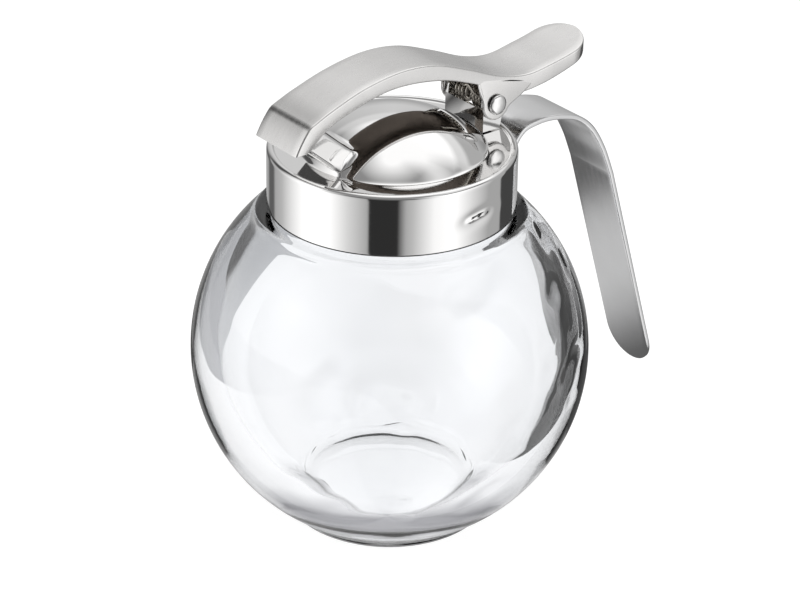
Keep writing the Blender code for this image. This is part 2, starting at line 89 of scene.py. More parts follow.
# ------------------------------------------------------------ helpers
def smooth_line(stations, per_span):
    """Catmull-Rom curve through the stations."""
    s = [np.array(p, float) for p in stations]
    s = [2 * s[0] - s[1], *s, 2 * s[-1] - s[-2]]
    line = []
    for i in range(1, len(s) - 2):
        for k in range(per_span):
            t = k / per_span
            line.append(0.5 * (
                2 * s[i] + (s[i + 1] - s[i - 1]) * t
                + (2 * s[i - 1] - 5 * s[i] + 4 * s[i + 1] - s[i + 2]) * t * t
                + (3 * s[i] - s[i - 1] - 3 * s[i + 1] + s[i + 2]) * t ** 3))
    line.append(s[-2])
    return np.array(line)


def even_steps(line, step):
    """The same line with points at even distances."""
    line = np.asarray(line, float)
    run = np.concatenate([[0.0], np.cumsum(np.hypot(*np.diff(line, axis=0).T))])
    count = max(int(round(run[-1] / step)), 1)
    at = np.linspace(0.0, run[-1], count + 1)
    return np.column_stack([np.interp(at, run, line[:, k]) for k in range(line.shape[1])])


def arc(cx, cz, radius, start, end, count):
    a = np.radians(np.linspace(start, end, count))
    return [(cx + radius * math.cos(t), cz + radius * math.sin(t)) for t in a]


def piece(name, points, faces, surface, body, replaced=(), smooth=True, normals=None):
    """Mesh piece from points in mm of the globe's frame."""
    mesh = bpy.data.meshes.new(name)
    pts = np.asarray(points, float).copy()
    pts[:, 0] += AXIS_X
    mesh.from_pydata((pts * MM).tolist(), [], [list(map(int, f)) for f in faces])
    mesh.validate()
    mesh.update()
    if smooth:
        for poly in mesh.polygons:
            poly.use_smooth = True
    obj = bpy.data.objects.new(name, mesh)
    bpy.context.scene.collection.objects.link(obj)
    mesh.materials.append(surface)
    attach(obj, body)
    if replaced:
        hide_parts(*replaced)
    return obj


def smooth01(t):
    t = min(max(t, 0.0), 1.0)
    return t * t * (3 - 2 * t)


def grid_faces(rows, columns, wrap_rows=False, wrap_columns=False, first=0):
    faces = []
    for i in range(rows if wrap_rows else rows - 1):
        for j in range(columns if wrap_columns else columns - 1):
            a, b = i, (i + 1) % rows
            c, d = j, (j + 1) % columns
            faces.append((first + a * columns + c, first + a * columns + d,
                          first + b * columns + d, first + b * columns + c))
    return faces


def tidy(obj, merge=2e-6):
    bm = bmesh.new()
    bm.from_mesh(obj.data)
    bmesh.ops.remove_doubles(bm, verts=bm.verts, dist=merge)
    bmesh.ops.dissolve_degenerate(bm, dist=1e-7, edges=bm.edges)
    bmesh.ops.recalc_face_normals(bm, faces=bm.faces)
    bm.to_mesh(obj.data)
    bm.free()
    return obj


def sharp_by_angle(obj, degrees):
    obj.data.set_sharp_from_angle(angle=math.radians(degrees))


def material(name):
    made = bpy.data.materials.new(name)
    made.use_nodes = True
    return made, made.node_tree, made.node_tree.nodes["Principled BSDF"]


def node(tree, kind, **values):
    made = tree.nodes.new(kind)
    for key, value in values.items():
        if key.startswith("in_"):
            made.inputs[key[3:].replace("_", " ")].default_value = value
        else:
            setattr(made, key, value)
    return made


def ramp(tree, stops):
    made = tree.nodes.new("ShaderNodeValToRGB")
    bar = made.color_ramp
    while len(bar.elements) < len(stops):
        bar.elements.new(0.5)
    for element, (place, level) in zip(bar.elements, stops):
        element.position = place
        element.color = (*level, 1.0) if isinstance(level, tuple) else (level, level, level, 1.0)
    return made


# ------------------------------------------------------------ materials
def polished_steel():
    """Mirror steel: near-perfect reflection, faint circumferential polish."""
    made, tree, shader = material("polished_steel")
    shader.inputs["Base Color"].default_value = (0.86, 0.855, 0.85, 1)
    shader.inputs["Metallic"].default_value = 1.0
    coords = node(tree, "ShaderNodeTexCoord")
    stretch = node(tree, "ShaderNodeMapping")
    stretch.inputs["Scale"].default_value = (90, 90, 900)
    fine = node(tree, "ShaderNodeTexNoise", in_Scale=1.0, in_Detail=3.0)
    tone = ramp(tree, [(0.3, 0.035), (0.75, 0.075)])
    tree.links.new(coords.outputs["Object"], stretch.inputs["Vector"])
    tree.links.new(stretch.outputs["Vector"], fine.inputs["Vector"])
    tree.links.new(fine.outputs["Fac"], tone.inputs["Fac"])
    tree.links.new(tone.outputs["Color"], shader.inputs["Roughness"])
    return made


def satin(name, color, low, high, scale, bump):
    """Softly polished metal with a faint grain."""
    made, tree, shader = material(name)
    shader.inputs["Metallic"].default_value = 1.0
    coords = node(tree, "ShaderNodeTexCoord")
    stretch = node(tree, "ShaderNodeMapping")
    stretch.inputs["Scale"].default_value = scale
    fine = node(tree, "ShaderNodeTexNoise", in_Scale=1.0, in_Detail=4.0)
    soft = node(tree, "ShaderNodeTexNoise", in_Scale=120.0, in_Detail=2.0)
    tone = ramp(tree, [(0.3, low), (0.75, high)])
    tint = ramp(tree, [(0.35, tuple(c * 0.965 for c in color)), (0.7, color)])
    lift = node(tree, "ShaderNodeBump", in_Strength=bump, in_Distance=0.00004)
    tree.links.new(coords.outputs["Object"], stretch.inputs["Vector"])
    tree.links.new(coords.outputs["Object"], soft.inputs["Vector"])
    tree.links.new(stretch.outputs["Vector"], fine.inputs["Vector"])
    tree.links.new(fine.outputs["Fac"], tone.inputs["Fac"])
    tree.links.new(tone.outputs["Color"], shader.inputs["Roughness"])
    tree.links.new(soft.outputs["Fac"], tint.inputs["Fac"])
    tree.links.new(tint.outputs["Color"], shader.inputs["Base Color"])
    tree.links.new(fine.outputs["Fac"], lift.inputs["Height"])
    tree.links.new(lift.outputs["Normal"], shader.inputs["Normal"])
    return made


def clear_glass():
    made, tree, shader = material("clear_glass")
    shader.inputs["Base Color"].default_value = (0.985, 0.99, 0.992, 1)
    shader.inputs["Roughness"].default_value = 0.0
    shader.inputs["IOR"].default_value = 1.5
    shader.inputs["Transmission Weight"].default_value = 1.0
    # Faint streaks of draw lines in the glass; the larger waves are in the mesh.
    coords = node(tree, "ShaderNodeTexCoord")
    stretch = node(tree, "ShaderNodeMapping")
    stretch.inputs["Scale"].default_value = (30, 30, 8)
    streak = node(tree, "ShaderNodeTexNoise", in_Scale=1.0, in_Detail=3.0)
    tint = ramp(tree, [(0.3, (0.965, 0.972, 0.982)), (0.7, (0.985, 0.988, 0.992))])
    tree.links.new(coords.outputs["Object"], stretch.inputs["Vector"])
    tree.links.new(stretch.outputs["Vector"], streak.inputs["Vector"])
    tree.links.new(streak.outputs["Fac"], tint.inputs["Fac"])
    tree.links.new(tint.outputs["Color"], shader.inputs["Base Color"])
    return made


# ------------------------------------------------------------ glass
def build_glass(surface):
    g, seg = GLOBE_Z, 192
    shoulder = math.degrees(math.acos(32.75 / GLOBE_R))
    foot = math.degrees(math.asin(39.7 / GLOBE_R))
    mouth = math.degrees(math.acos(NECK_BORE_R / CAVITY_R))
    cz = g + CAVITY_LIFT
    inner = [(float(r), FLOOR_Z) for r in np.linspace(0.4, 19.2, 14)]
    inner += smooth_line([(19.2, FLOOR_Z), (20.5, FLOOR_Z + 0.06), (21.35, FLOOR_Z + 0.32), (21.9, FLOOR_Z + 0.85), (22.2, FLOOR_Z + 1.6)], 6).tolist()
    for angle in np.linspace(-57.2, mouth - 1.5, 90):
        r = CAVITY_R + CAVITY_WIDER * smooth01((-angle - 28.0) / 30.0)
        t = math.radians(angle)
        inner.append((r * math.cos(t), cz + r * math.sin(t)))
    inner += smooth_line([(24.9, 78.6), (NECK_BORE_R, 81.5), (NECK_BORE_R, 90.0), (24.6, 92.6), (25.4, NECK_TOP_Z)], 4).tolist()
    neck = smooth_line([(26.8, NECK_TOP_Z), (27.5, 92.5), (NECK_R, 91.5), (NECK_R, 84.0), (NECK_R, 80.9)], 4).tolist()
    neck += smooth_line([(NECK_R, 80.6), (27.75, 79.3), (28.15, 78.6), (28.9, 78.35), (30.0, 78.4), (31.0, 78.45), (31.7, 78.25), (32.2, 77.85), (32.5, 77.45)], 5).tolist()
    outer = neck + arc(0.0, g, GLOBE_R, shoulder - 0.4, -foot, 110)
    outer += smooth_line([(25.9, g - 39.9), (25.2, g - 40.5), (24.6, g - 41.4), (24.0, g - 42.1), (FOOT_R, 0.0)], 4).tolist()
    outer += [(22.0, 0.0), (21.2, 0.0)]
    outer += smooth_line([(FOOT_INNER_R, 0.05), (19.0, 0.3), (16.0, 0.6), (12.0, 0.92), (5.0, 1.16), (0.4, 1.2)], 5).tolist()
    rows, keep = [], []
    for tag, profile in (("in", inner), ("out", outer)):
        for r, z in profile:
            if rows and abs(rows[-1][0] - r) + abs(rows[-1][1] - z) < 0.02:
                continue
            rows.append((r, z))
            keep.append(tag)
    points = []
    for (r, z), tag in zip(rows, keep):
        for k in range(seg):
            a = 2 * math.pi * k / seg
            dr = dz = 0.0
            if tag == "in" and z < 88.0:
                # Pressed and blown glass: the inner face is softly uneven.
                d = Vector((math.cos(a) * r, math.sin(a) * r, z - cz)) / 43.0
                wave = noise.noise(d * 2.6 + Vector((3.1, 0.7, 1.9))) * 0.30
                calm = smooth01((math.cos(a - math.radians(141.9)) + 0.2) / 1.0)
                wave = wave * (1.0 - 0.55 * calm) + noise.noise(d * 7.0 + Vector((8.3, 2.2, 5.1))) * 0.16 * (1.0 - 0.85 * calm)
                if z < FLOOR_Z + 0.3 and r < 20.6:
                    dz = wave * 0.35
                else:
                    dr = -abs(wave) * 0.5 + wave * 0.5
                if 20.6 < r < 26.0 and z < 11.0:
                    dr += smooth01((11.0 - z) / 3.0) * 1.2 * (0.28 * math.sin(5 * a + 0.6) + 0.2 * math.sin(9 * a + 2.0) + 0.12 * math.sin(14 * a))
            rr = r + dr
            points.append((rr * math.cos(a), rr * math.sin(a), z + dz))
    n = len(rows)
    faces = grid_faces(n, seg, wrap_columns=True)
    first = len(points)
    points.append((0.0, 0.0, rows[0][1]))
    points.append((0.0, 0.0, rows[-1][1]))
    for k in range(seg):
        faces.append((first, (k + 1) % seg, k))
        faces.append((first + 1, (n - 1) * seg + k, (n - 1) * seg + (k + 1) % seg))
    obj = piece("glass_shell", points, faces, surface, "jar", ("glass_jar",))
    return tidy(obj)


# ------------------------------------------------------------ lid
BALL = (DOME_R ** 2 + DOME_H ** 2) / (2 * DOME_H)
BALL_Z = DECK_Z + DOME_H - BALL


def lid_height(r):
    """Top of the lid's deck and dome, with a small fillet at the dome's foot."""
    dome = BALL_Z + np.sqrt(np.maximum(BALL ** 2 - np.asarray(r) ** 2, 0.0))
    k = 0.16
    return DECK_Z + k * np.log1p(np.exp(np.clip((dome - DECK_Z) / k, -60, 60)))


def lug_depth(angle, z, centre):
    """Pressed lug on the collar: a shallow oval dish with a ridge in it (mm outwards)."""
    u = (angle - centre) * COLLAR_R
    u, v = u, z - 86.8
    tilt = math.radians(-7.0)
    u, v = u * math.cos(tilt) - v * math.sin(tilt), u * math.sin(tilt) + v * math.cos(tilt)
    q = (u / 4.9) ** 2 + (v / 2.1) ** 2
    dish = -0.55 * math.exp(-(q ** 1.3) * 1.1)
    w = (u / 3.1) ** 4 + (v / 0.62) ** 2
    ridge = 0.80 * math.exp(-(w ** 1.1))
    return dish + ridge


LUG_ANGLES = [math.radians(a) for a in (-85.3, -85.3 + 180.0)]


def build_lid(surface):
    seg = 720
    top = [(0.0, float(lid_height(0.0)))]
    rr = np.concatenate([np.linspace(0.6, 19.5, 34), np.linspace(19.9, 24.0, 30), np.linspace(24.5, 27.0, 5)])
    top += [(float(r), float(lid_height(r))) for r in rr]
    rim_c = COLLAR_R - RIM_ROUND
    top += smooth_line([(27.2, DECK_Z), (27.45, DECK_Z + 0.02), (27.62, DECK_Z + 0.14), (27.75, DECK_Z + 0.3), (27.93, DECK_Z + 0.44), (rim_c, RIM_Z)], 3).tolist()
    top += arc(rim_c, RIM_Z - RIM_ROUND, RIM_ROUND, 82, 0, 9)
    wall = [(COLLAR_R, float(z)) for z in np.linspace(93.6, 80.5, 46)]
    hem = [(COLLAR_R - 0.05, 80.2), (COLLAR_R - 0.18, 80.04), (COLLAR_R - 0.4, 80.0), (COLLAR_R - LID_T + 0.1, 80.05), (COLLAR_R - LID_T, 80.3)]
    under = [(COLLAR_R - LID_T, 86.0), (COLLAR_R - LID_T, 93.2), (COLLAR_R - LID_T - 0.2, 93.6), (COLLAR_R - LID_T - 0.6, DECK_Z - LID_T), (DOME_R + 0.6, DECK_Z - LID_T)]
    under += [(float(r), BALL_Z + math.sqrt((BALL - LID_T) ** 2 - r * r)) for r in np.linspace(DOME_R - 0.6, 0.5, 16)]
    profile = top[1:] + wall + hem + under
    a_stub = math.radians(STUB_SLOPE)
    up = np.array([math.sin(a_stub), math.cos(a_stub)])
    points = []
    angles = [2 * math.pi * k / seg for k in range(seg)]
    wall_from, wall_to = len(top) - 1, len(top) - 1 + len(wall)
    for i, (r, z) in enumerate(profile):
        for a in angles:
            push = 0.0
            if wall_from <= i < wall_to:
                for c in LUG_ANGLES:
                    d = (a - c + math.pi) % (2 * math.pi) - math.pi
                    if abs(d) < 0.3:
                        push += lug_depth(d, z, 0.0)
            points.append(((r + push) * math.cos(a), (r + push) * math.sin(a), z))
    n = len(profile)
    faces = grid_faces(n, seg, wrap_columns=True)
    first = len(points)
    points += [(0.0, 0.0, top[0][1]), (0.0, 0.0, BALL_Z + BALL - LID_T)]
    for k in range(seg):
        faces.append((first, k, (k + 1) % seg))
        faces.append((first + 1, (n - 1) * seg + (k + 1) % seg, (n - 1) * seg + k))
    # The shell is open under the stub, where its channel goes through.
    pts = np.array(points)
    rel = pts[:, [0, 2]] - np.array(STUB_FOOT)
    across = rel @ up
    inside = (np.abs(pts[:, 1]) < STUB_HALF_W - 0.35) & (np.abs(across) < STUB_H / 2 - 0.35) & (pts[:, 0] < -8) & (pts[:, 2] > DECK_Z - 1.5)
    faces = [f for f in faces if not all(inside[v] for v in f)]

    # The stub: rounded rectangles that flare out into the dome and the deck.
    along = np.array([-math.cos(a_stub), 0.0, math.sin(a_stub)])
    upv = np.array([up[0], 0.0, up[1]])
    side = np.array([0.0, 1.0, 0.0])
    foot = np.array([STUB_FOOT[0], 0.0, STUB_FOOT[1]])
    close = np.array([LEVER_UNDER[0][0] - LEVER_HEEL[0], LEVER_UNDER[0][1] - LEVER_HEEL[1]])
    close /= np.hypot(*close)
    out_n = np.array([-close[1], 0.0, close[0]])
    mouth_p = np.array([LEVER_HEEL[0], 0.0, LEVER_HEEL[1]]) - out_n * GAP

    def section(half_w, half_h, corner, per_corner=7, per_side=10):
        ring = []
        centres = [(half_w - corner, half_h - corner, 0), (corner - half_w, half_h - corner, 90),
                   (corner - half_w, corner - half_h, 180), (half_w - corner, corner - half_h, 270)]
        for m, (cx, cy, begin) in enumerate(centres):
            for k in range(per_corner):
                t = math.radians(begin + 90.0 * k / (per_corner - 1))
                ring.append((cx + corner * math.cos(t), cy + corner * math.sin(t), math.cos(t), math.sin(t)))
            nx, ny, nb = centres[(m + 1) % 4]
            t = math.radians(nb)
            p, q = ring[-1], (nx + corner * math.cos(t), ny + corner * math.sin(t))
            for k in range(1, per_side):
                f = k / per_side
                ring.append((p[0] + (q[0] - p[0]) * f, p[1] + (q[1] - p[1]) * f, math.cos(t), math.sin(t)))
        return ring

    # The stub's sides lean in a little towards the top.
    outside = [(x * (1.0 - 0.011 * y), y, nx, ny) for x, y, nx, ny in section(STUB_HALF_W, STUB_H / 2, 1.0)]
    bore = section(STUB_HALF_W - STUB_WALL, STUB_H / 2 - STUB_WALL, 0.5)

    def meet(q):
        """Distance along the axis at which a wall line leaves the dome or deck."""
        base = foot + side * q[0] + upv * q[1]
        low, high = -14.0, 14.0
        for _ in range(50):
            mid = (low + high) / 2
            p = base + along * mid
            if p[2] > float(lid_height(math.hypot(p[0], p[1]))):
                high = mid
            else:
                low = mid
        return (low + high) / 2

    rings = []
    starts = [meet(q) for q in outside]
    flare = 1.7
    fillet_steps = 12
    mouth_s = []
    for q in outside:
        base = foot + side * q[0] + upv * q[1]
        mouth_s.append(float(np.dot(mouth_p - base, out_n) / np.dot(along, out_n)))
    for k in range(fillet_steps + 1):
        t = k / fillet_steps
        ring = []
        for q, s0, s1 in zip(outside, starts, mouth_s):
            base = foot + side * q[0] + upv * q[1]
            # Wide at the sides and on top, tight below, where the stub overhangs.
            wide = flare * (0.10 + 0.90 * smooth01((q[1] + STUB_H / 2) / 3.4))
            reach = min(wide, max(s1 - s0 - 0.6, 0.3))
            outward = side * q[2] + upv * q[3]
            p2 = base + along * (s0 + reach)
            p1 = base + along * s0
            p0 = p1 + outward * wide
            # Slide the outer end along the axis until it lies on the lid.
            low, high = -12.0, 12.0
            for _ in range(40):
                mid = (low + high) / 2
                p = p0 + along * mid
                if p[2] > float(lid_height(math.hypot(p[0], p[1]))):
                    high = mid
                else:
                    low = mid
            p0 = p0 + along * low
            p = (1 - t) ** 2 * p0 + 2 * t * (1 - t) * p1 + t * t * p2
            if k == 0:
                p = p - np.array([0, 0, 0.03])
            ring.append(p)
        rings.append(ring)
    last = rings[-1]
    for f in (0.33, 0.66, 1.0):
        ring = []
        for p, q, s1 in zip(last, outside, mouth_s):
            base = foot + side * q[0] + upv * q[1]
            end = base + along * s1
            ring.append(p + (end - p) * f)
        rings.append(ring)
    # Rounded lip, then the bore down through the shell.
    lip_in = []
    for q in bore:
        base = foot + side * q[0] + upv * q[1]
        s1 = float(np.dot(mouth_p - base, out_n) / np.dot(along, out_n))
        lip_in.append(base + along * s1)
    rings.append(lip_in)
    ring = []
    for q in bore:
        base = foot + side * q[0] + upv * q[1]
        ring.append(base + along * (meet(q) - 0.5))
    rings.append(ring)
    m = len(outside)
    start = len(points)
    for ring in rings:
        points += [tuple(p) for p in ring]
    faces += grid_faces(len(rings), m, wrap_columns=True, first=start)
    obj = piece("lid_shell", points, faces, surface, "jar", ("lid",))
    mesh = obj.data
    bm = bmesh.new()
    bm.from_mesh(mesh)
    bmesh.ops.delete(bm, geom=[v for v in bm.verts if not v.link_faces], context="VERTS")
    bm.to_mesh(mesh)
    bm.free()
    sharp_by_angle(obj, 38)
    return obj


# ------------------------------------------------------------ lever
def lever_lines():
    top = smooth_line(LEVER_TOP, 24)
    under = smooth_line([LEVER_HEEL, *LEVER_UNDER], 24)
    return top, under


def lever_half_width(x):
    if x > THUMB_C:
        t = min((x - THUMB_C) / THUMB_ROUND, 1.0)
        return THUMB_HALF_W * math.sqrt(max(1.0 - t * t, 0.0))
    if x > 26.0:
        t = min((x - 26.0) / 16.0, 1.0)
        return LEVER_HALF_W + (THUMB_HALF_W - LEVER_HALF_W) * t * t * (3 - 2 * t)
    if x < -14.0:
        t = min((-14.0 - x) / 14.0, 1.0)
        return LEVER_HALF_W + (LEVER_TIP_HALF_W - LEVER_HALF_W) * t
    return LEVER_HALF_W


def at(line, x):
    return float(np.interp(x, line[:, 0], line[:, 1]))


def lever_section(upper, lower, half, edge, across=8):
    """Rounded rectangle section between a point of the top and one of the underside."""
    (xa, za), (xb, zb) = upper, lower
    depth = math.hypot(xa - xb, za - zb)
    u = np.array([xa - xb, za - zb]) / depth
    edge = min(edge, half * 0.45, depth * 0.3)
    ring = []
    for sign_y, sign_u, begin in ((1, 1, 0), (-1, 1, 90), (-1, -1, 180), (1, -1, 270)):
        cy = sign_y * (half - edge)
        cu = (0.0 if sign_u > 0 else -depth) - sign_u * edge
        for k in range(5):
            t = math.radians(begin + 22.5 * k)
            y = cy + edge * math.cos(t)
            w = cu + edge * math.sin(t)
            ring.append((xa + u[0] * w, y, za + u[1] * w))
        if begin in (0, 180):
            # Points across the top and the underside.
            y0, y1 = (half - edge, -half + edge) if begin == 0 else (-half + edge, half - edge)
            w = 0.0 if begin == 0 else -depth
            for k in range(1, across):
                y = y0 + (y1 - y0) * k / across
                ring.append((xa + u[0] * w, y, za + u[1] * w))
    return ring


def build_lever(surface, underside_shade):
    top, under = lever_lines()
    rings = []
    crease = np.array(top[0])
    tip, heel = np.array(LEVER_TIP), np.array(LEVER_HEEL)
    lower_end = np.array([-24.9, at(under, -24.9)])
    # Front plate: slightly rounded foot, then straight up to a soft crease.
    for t in [0.0, 0.02, 0.06, 0.15, 0.3, 0.45, 0.6, 0.75, 0.86, 0.93]:
        up_p = tip + (crease - tip) * t
        up_p = up_p + np.array([-0.838, 0.545]) * 0.26 * (4 * t * (1 - t))
        lo_p = heel + (lower_end - heel) * t
        rings.append(lever_section(up_p, lo_p, LEVER_TIP_HALF_W - (0.12 if t == 0 else 0.0), 0.5))
    # Turn the crease over a radius of about one millimetre.
    xs = list(np.arange(-29.1, THUMB_C, 0.55))
    ends = [THUMB_C + THUMB_ROUND * math.sin(math.radians(d)) for d in
            (2, 8, 14, 20, 26, 32, 38, 44, 50, 56, 62, 67, 72, 76, 79.5, 82.5, 85)]
    for x in xs + ends:
        low_x = x
        if x < -18.0:
            low_x = x + 4.6 * min(max((-18.0 - x) / 11.0, 0.0), 1.0) ** 1.2
        rings.append(lever_section((x, at(top, x)), (low_x, at(under, low_x)), lever_half_width(x), 0.55))
    m = len(rings[0])
    points = [p for ring in rings for p in ring]
    faces = grid_faces(len(rings), m, wrap_columns=True)
    faces.append(tuple(range(m))[::-1])
    faces.append(tuple(range((len(rings) - 1) * m, len(rings) * m)))

    # Cheeks outside the bracket's ears, blended into the bar's side.
    outline = smooth_line([
        (19.0, PIVOT_Z + 7.4), (19.1, PIVOT_Z + 5.8), (19.6, PIVOT_Z + 3.9), (20.15, PIVOT_Z + 2.2), (20.42, PIVOT_Z + 0.9)], 6).tolist()
    outline += arc(PIVOT_X, PIVOT_Z, CHEEK_R, 176, 334, 40)
    outline += smooth_line([
        (28.5, PIVOT_Z - 1.15), (29.9, PIVOT_Z - 0.45), (32.3, PIVOT_Z + 0.8), (35.4, PIVOT_Z + 2.6), (37.5, PIVOT_Z + 3.2)], 6).tolist()
    outline += [(34.0, PIVOT_Z + 3.9), (29.0, PIVOT_Z + 4.6), (24.0, PIVOT_Z + 6.0)]
    outline = [p for k, p in enumerate(outline) if k == 0 or math.dist(p, outline[k - 1]) > 0.05]
    for sgn in (-1, 1):
        n = len(outline)
        levels = [(CHEEK_IN, 0.25), (CHEEK_IN + 0.1, 0.06), (CHEEK_IN + 0.25, 0.0), (CHEEK_OUT - 0.35, 0.0),
                  (CHEEK_OUT - 0.16, 0.08), (CHEEK_OUT - 0.04, 0.22), (CHEEK_OUT, 0.45)]
        centre = np.mean(np.array(outline), axis=0)
        start = len(points)
        o = np.array(outline)
        nxt, prv = np.roll(o, -1, axis=0), np.roll(o, 1, axis=0)
        tangent = nxt - prv
        tangent /= np.linalg.norm(tangent, axis=1)[:, None]
        normal = np.column_stack([tangent[:, 1], -tangent[:, 0]])
        area = 0.5 * np.sum(o[:, 0] * nxt[:, 1] - nxt[:, 0] * o[:, 1])
        if area < 0:
            normal = -normal
        for y, inset in levels:
            q = o - normal * inset
            # The outer face runs into the bar's side towards the top.
            for p in q:
                lean = smooth01((p[1] - PIVOT_Z - 0.9) / 3.6) * (CHEEK_OUT - LEVER_HALF_W + 0.06)
                points.append((float(p[0]), sgn * (y - lean * smooth01((y - CHEEK_IN) / (CHEEK_OUT - 0.3 - CHEEK_IN))), float(p[1])))
        faces += grid_faces(len(levels), n, wrap_columns=True, first=start)
        faces.append(tuple(range(start, start + n)))
        faces.append(tuple(range(start + (len(levels) - 1) * n, start + len(levels) * n))[::-1])
    obj = piece("lever_bar", points, faces, surface, "lever", ("lever",))
    # The downward faces of the underside get painted shade: a dark, duller metal than the polished faces.
    obj.data.materials.append(underside_shade)
    bm = bmesh.new()
    bm.from_mesh(obj.data)
    bmesh.ops.recalc_face_normals(bm, faces=bm.faces)
    for face in bm.faces:
        middle = face.calc_center_median()
        if face.normal.z < -0.55 and abs(face.normal.y) < 0.3 and middle.x > (-30.5 + AXIS_X) * MM and middle.x < (27.0 + AXIS_X) * MM:
            face.material_index = 1
    bm.to_mesh(obj.data)
    bm.free()
    sharp_by_angle(obj, 40)
    return obj


# ------------------------------------------------------------ strap
def build_handle(surface):
    line = smooth_line(STRAP_TOP, 16)
    a = math.radians(STRAP_SLOPE)
    x, z = line[-1]
    length = (z - STRAP_END_Z) / math.sin(a)
    straight = length - STRAP_ROUND
    pts = [tuple(p) for p in even_steps(line, 0.6)]
    widths = [STRAP_HALF_W] * len(pts)
    for s in np.linspace(0, straight, 40)[1:]:
        pts.append((x + s * math.cos(a), z - s * math.sin(a)))
        widths.append(STRAP_HALF_W)
    for d in (4, 8, 13, 18, 24, 30, 36, 42, 48, 54, 60, 65, 70, 74, 78, 81, 84, 86.5):
        s = straight + STRAP_ROUND * math.sin(math.radians(d))
        pts.append((x + s * math.cos(a), z - s * math.sin(a)))
        widths.append(STRAP_HALF_W * math.cos(math.radians(d)) ** 0.87)
    line = np.array(pts)
    tangent = np.gradient(line, axis=0)
    tangent /= np.linalg.norm(tangent, axis=1)[:, None]
    below = np.column_stack([tangent[:, 1], -tangent[:, 0]])  # to the right of the run: under the sheet
    rings = []
    e = 0.38
    for (px, pz), (nx, nz), half in zip(line, below, widths):
        hug = min(max((90.0 - pz) / 6.0, 0.0), 1.0) if px < 34.0 else 0.0
        ring = []
        ee = min(e, half * 0.4)
        spec = []
        for sy, su, begin in ((1, 1, 0), (-1, 1, 90), (-1, -1, 180), (1, -1, 270)):
            cy = sy * (half - ee)
            cu = (0.0 if su > 0 else -STRAP_T) - su * ee
            for k in range(5):
                t = math.radians(begin + 22.5 * k)
                spec.append((cy + ee * math.cos(t), cu + ee * math.sin(t)))
            if begin in (0, 180):
                y0, y1 = (half - ee, -half + ee) if begin == 0 else (-half + ee, half - ee)
                w = 0.0 if begin == 0 else -STRAP_T
                for k in range(1, 12):
                    spec.append((y0 + (y1 - y0) * k / 12, w))
        for y, w in spec:
            back = math.sqrt(FLANGE_R ** 2 - y * y) - FLANGE_R
            ring.append((px - nx * w + back * hug, y, pz - nz * w))
        rings.append(ring)
    m = len(rings[0])
    points = [p for ring in rings for p in ring]
    faces = grid_faces(len(rings), m, wrap_columns=True)
    faces.append(tuple(range(m))[::-1])
    faces.append(tuple(range((len(rings) - 1) * m, len(rings) * m)))
    obj = piece("handle_strap", points, faces, surface, "jar", ("handle",))
    bm = bmesh.new()
    bm.from_mesh(obj.data)
    bmesh.ops.recalc_face_normals(bm, faces=bm.faces)
    bm.to_mesh(obj.data)
    bm.free()
    sharp_by_angle(obj, 40)
    return obj


# ------------------------------------------------------------ rivet and spring
def build_pin(surface):
    seg = 48
    inner = CHEEK_OUT + GAP - 0.1
    half = [(0.05, inner + 1.0)]
    for d in (80, 68, 56, 44, 33, 22, 12, 4):
        half.append((PIN_HEAD_R * math.cos(math.radians(d)), inner + 0.18 + 0.8 * math.sin(math.radians(d))))
    half += [(PIN_HEAD_R, inner + 0.1), (PIN_HEAD_R - 0.08, inner), (PIN_R, inner)]
    profile = half + [(r, -y) for r, y in reversed(half)]
    points = []
    for r, y in profile:
        for k in range(seg):
            t = 2 * math.pi * k / seg
            points.append((PIVOT_X + r * math.cos(t), y, PIVOT_Z + r * math.sin(t)))
    n = len(profile)
    faces = grid_faces(n, seg, wrap_columns=True)
    faces.append(tuple(range(seg)))
    faces.append(tuple(range((n - 1) * seg, n * seg))[::-1])
    obj = piece("rivet", points, faces, surface, "jar", ("pin",))
    tidy(obj, 1e-6)
    sharp_by_angle(obj, 40)
    return obj


def tube(name, path, radius, surface, body, replaced, sides=12):
    """Round wire swept along a path."""
    path = np.asarray(path, float)
    tangent = np.gradient(path, axis=0)
    tangent /= np.linalg.norm(tangent, axis=1)[:, None]
    ref = np.array([0.0, 1.0, 0.0]) if abs(tangent[0][1]) < 0.9 else np.array([1.0, 0.0, 0.0])
    u = np.cross(tangent[0], ref)
    u /= np.linalg.norm(u)
    points = []
    for p, t in zip(path, tangent):
        u = u - t * np.dot(u, t)
        u /= np.linalg.norm(u)
        v = np.cross(t, u)
        for k in range(sides):
            a = 2 * math.pi * k / sides
            points.append(tuple(p + radius * (u * math.cos(a) + v * math.sin(a))))
    faces = grid_faces(len(path), sides, wrap_columns=True)
    faces.append(tuple(range(sides))[::-1])
    faces.append(tuple(range((len(path) - 1) * sides, len(path) * sides)))
    obj = piece(name, points, faces, surface, body, replaced)
    bm = bmesh.new()
    bm.from_mesh(obj.data)
    bmesh.ops.recalc_face_normals(bm, faces=bm.faces)
    bm.to_mesh(obj.data)
    bm.free()
    sharp_by_angle(obj, 50)
    return obj


